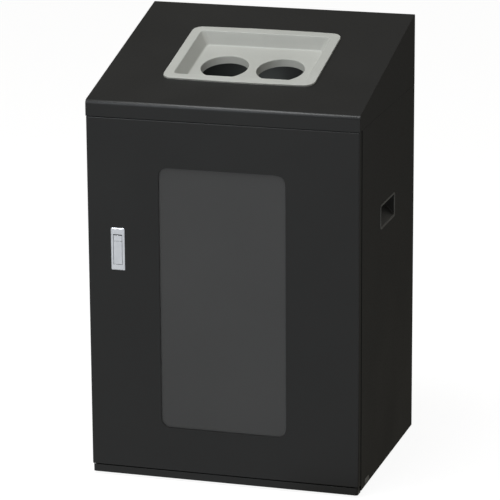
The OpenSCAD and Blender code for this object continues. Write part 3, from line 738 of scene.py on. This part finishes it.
def floor_material():
    """Pale floor. The light it throws on the object is dimmer in a wedge beside the right panel, as with a dark card on a studio table."""
    m = plain("floor_pale", (0.90, 0.90, 0.90))
    nt = m.node_tree
    out = next(n for n in nt.nodes if n.type == "OUTPUT_MATERIAL")
    pale = next(n for n in nt.nodes if n.type == "BSDF_PRINCIPLED")
    pale.inputs["Emission Color"].default_value = (1, 1, 1, 1)
    pale.inputs["Emission Strength"].default_value = 0.93
    pale.inputs["Base Color"].default_value = (0.20, 0.20, 0.20, 1)
    at = nt.nodes.new("ShaderNodeSeparateXYZ")
    coord = nt.nodes.new("ShaderNodeTexCoord")
    nt.links.new(coord.outputs["Object"], at.inputs[0])

    def math_node(op, *values):
        n = nt.nodes.new("ShaderNodeMath")
        n.operation = op
        for i, v in enumerate(values):
            if isinstance(v, (int, float)):
                n.inputs[i].default_value = v
            else:
                nt.links.new(v, n.inputs[i])
        return n.outputs[0]

    def step(value, lo, hi, a, b):
        n = nt.nodes.new("ShaderNodeMapRange")
        n.interpolation_type = "SMOOTHSTEP"
        for key, v in (("From Min", lo), ("From Max", hi), ("To Min", a), ("To Max", b)):
            n.inputs[key].default_value = v
        nt.links.new(value, n.inputs["Value"])
        return n.outputs[0]

    x, y = at.outputs["X"], at.outputs["Y"]
    wedge = math_node("MULTIPLY", step(math_node("MULTIPLY_ADD", x, 0.1, y), -0.32, -0.08, 0, 1), step(x, 0.05, 0.20, 0, 1))
    wedge = math_node("MULTIPLY", wedge, step(math_node("MULTIPLY_ADD", y, -0.75, x), 0.50, 0.95, 1, 0))
    open_floor = step(y, -0.2, 0.4, FLOOR_FRONT, FLOOR_OPEN)
    level = math_node("ADD", math_node("MULTIPLY", open_floor, math_node("SUBTRACT", 1.0, wedge)), math_node("MULTIPLY", wedge, step(x, 0.25, 0.85, *FLOOR_WEDGE)))
    dim = nt.nodes.new("ShaderNodeEmission")
    tint = nt.nodes.new("ShaderNodeMix")
    tint.data_type = "RGBA"
    tint.inputs[6].default_value = (0.97, 0.99, 1.0, 1)
    tint.inputs[7].default_value = (1.0, 0.96, 0.84, 1)
    nt.links.new(wedge, tint.inputs["Factor"])
    nt.links.new(tint.outputs[2], dim.inputs["Color"])
    path = nt.nodes.new("ShaderNodeLightPath")
    soft = math_node("MULTIPLY_ADD", path.outputs["Is Diffuse Ray"], -0.70, 1.0)
    nt.links.new(math_node("MULTIPLY", level, soft), dim.inputs["Strength"])
    mix = nt.nodes.new("ShaderNodeMixShader")
    nt.links.new(path.outputs["Is Camera Ray"], mix.inputs[0])
    nt.links.new(dim.outputs[0], mix.inputs[1])
    nt.links.new(pale.outputs[0], mix.inputs[2])
    nt.links.new(mix.outputs[0], out.inputs["Surface"])
    return m


FLOOR_FRONT, FLOOR_OPEN, FLOOR_WEDGE = 0.74, 0.60, (0.10, 0.062)
mesh = bpy.data.meshes.new("floor")
mesh.from_pydata([(-30, -30, 0), (30, -30, 0), (30, 30, 0), (-30, 30, 0)], [], [(0, 1, 2, 3)])
floor = bpy.data.objects.new("floor", mesh)
floor.data.materials.append(floor_material())
scene.collection.objects.link(floor)

world = bpy.data.worlds.new("studio")
scene.world = world
world.use_nodes = True
wn = world.node_tree
bg = next(n for n in wn.nodes if n.type == "BACKGROUND")
bg.inputs["Color"].default_value = (1.0, 0.97, 0.90, 1)
bg.inputs["Strength"].default_value = 0.165
white = wn.nodes.new("ShaderNodeBackground")
white.inputs["Color"].default_value = (1, 1, 1, 1)
white.inputs["Strength"].default_value = 1.0
wpath = wn.nodes.new("ShaderNodeLightPath")
wmix = wn.nodes.new("ShaderNodeMixShader")
wout = next(n for n in wn.nodes if n.type == "OUTPUT_WORLD")
wn.links.new(wpath.outputs["Is Camera Ray"], wmix.inputs[0])
wn.links.new(bg.outputs[0], wmix.inputs[1])
wn.links.new(white.outputs[0], wmix.inputs[2])
wn.links.new(wmix.outputs[0], wout.inputs["Surface"])


def area(name, loc, target, size, size_y, power, colour=(1, 1, 1)):
    light = bpy.data.lights.new(name, "AREA")
    light.shape = "RECTANGLE"
    light.size, light.size_y = size, size_y
    light.energy = power
    light.color = colour
    o = bpy.data.objects.new(name, light)
    o.location = loc
    o.rotation_mode = "QUATERNION"
    o.rotation_quaternion = (Vector(target) - Vector(loc)).to_track_quat("-Z", "Y")
    o.visible_camera = False
    scene.collection.objects.link(o)
    return o


area("softbox_top", (-0.45, -0.75, 3.0), (0, 0, 0.4), 1.6, 1.0, 57, (0.97, 0.99, 1.0))
area("softbox_front_left", (-3.0, -3.4, 1.8), (0, 0, 0.4), 2.0, 2.0, 17, (0.96, 0.98, 1.0))
area("softbox_high_front", (-0.95, -2.1, 2.45), (-0.1, -0.2, 0.55), 1.6, 0.45, 19.5, (0.90, 0.95, 1.0)).visible_diffuse = False
area("softbox_low_front", (-1.2, -3.2, 1.75), (-0.1, -0.2, 0.65), 2.0, 0.8, 17, (0.82, 0.90, 1.0)).visible_diffuse = False

# the light that reaches the inside behind the inlets: a narrow spot on the back wall, above the container
lamp = bpy.data.lights.new("lamp_under_hood", "SPOT")
lamp.energy = 0.62
lamp.color = (0.88, 1.0, 0.98)
lamp.spot_size = math.radians(95)
lamp.spot_blend = 1.0
lamp.shadow_soft_size = 0.02
o = bpy.data.objects.new("lamp_under_hood", lamp)
o.location = (-0.03, 0.07, 0.59)
o.rotation_mode = "QUATERNION"
o.rotation_quaternion = (Vector((-0.11, 0.199, 0.672)) - Vector(o.location)).to_track_quat("-Z", "Y")
scene.collection.objects.link(o)

# and a small one in front of the inlets, below the tray, that reaches the far side of their collars
area("lamp_under_tray", (-0.01, -0.11, 0.625), (0.0, 0.02, 0.742), 0.30, 0.03, 0.13, (0.97, 0.99, 1.0))

yaw, pitch, roll = math.radians(16.649), math.radians(15.567), math.radians(-0.349)
forward = Vector((-math.sin(yaw) * math.cos(pitch), math.cos(yaw) * math.cos(pitch), -math.sin(pitch)))
right = Vector((math.cos(yaw), math.sin(yaw), 0))
up = right.cross(forward)
right, up = (math.cos(roll) * right + math.sin(roll) * up, math.cos(roll) * up - math.sin(roll) * right)
cam_data = bpy.data.cameras.new("camera")
cam_data.sensor_width = 36
cam_data.lens = 221.87
cam_data.clip_start, cam_data.clip_end = 0.1, 100
camera = bpy.data.objects.new("camera", cam_data)
rot = Matrix((right, up, -forward)).transposed()
camera.matrix_world = Matrix.Translation((1.5454, -5.1941, 1.8966)) @ rot.to_4x4()
scene.collection.objects.link(camera)
scene.camera = camera

scene.view_settings.view_transform = "Standard"
scene.view_settings.look = "None"

# ------------------------------------------------------------------ update

bpy.context.view_layer.update()
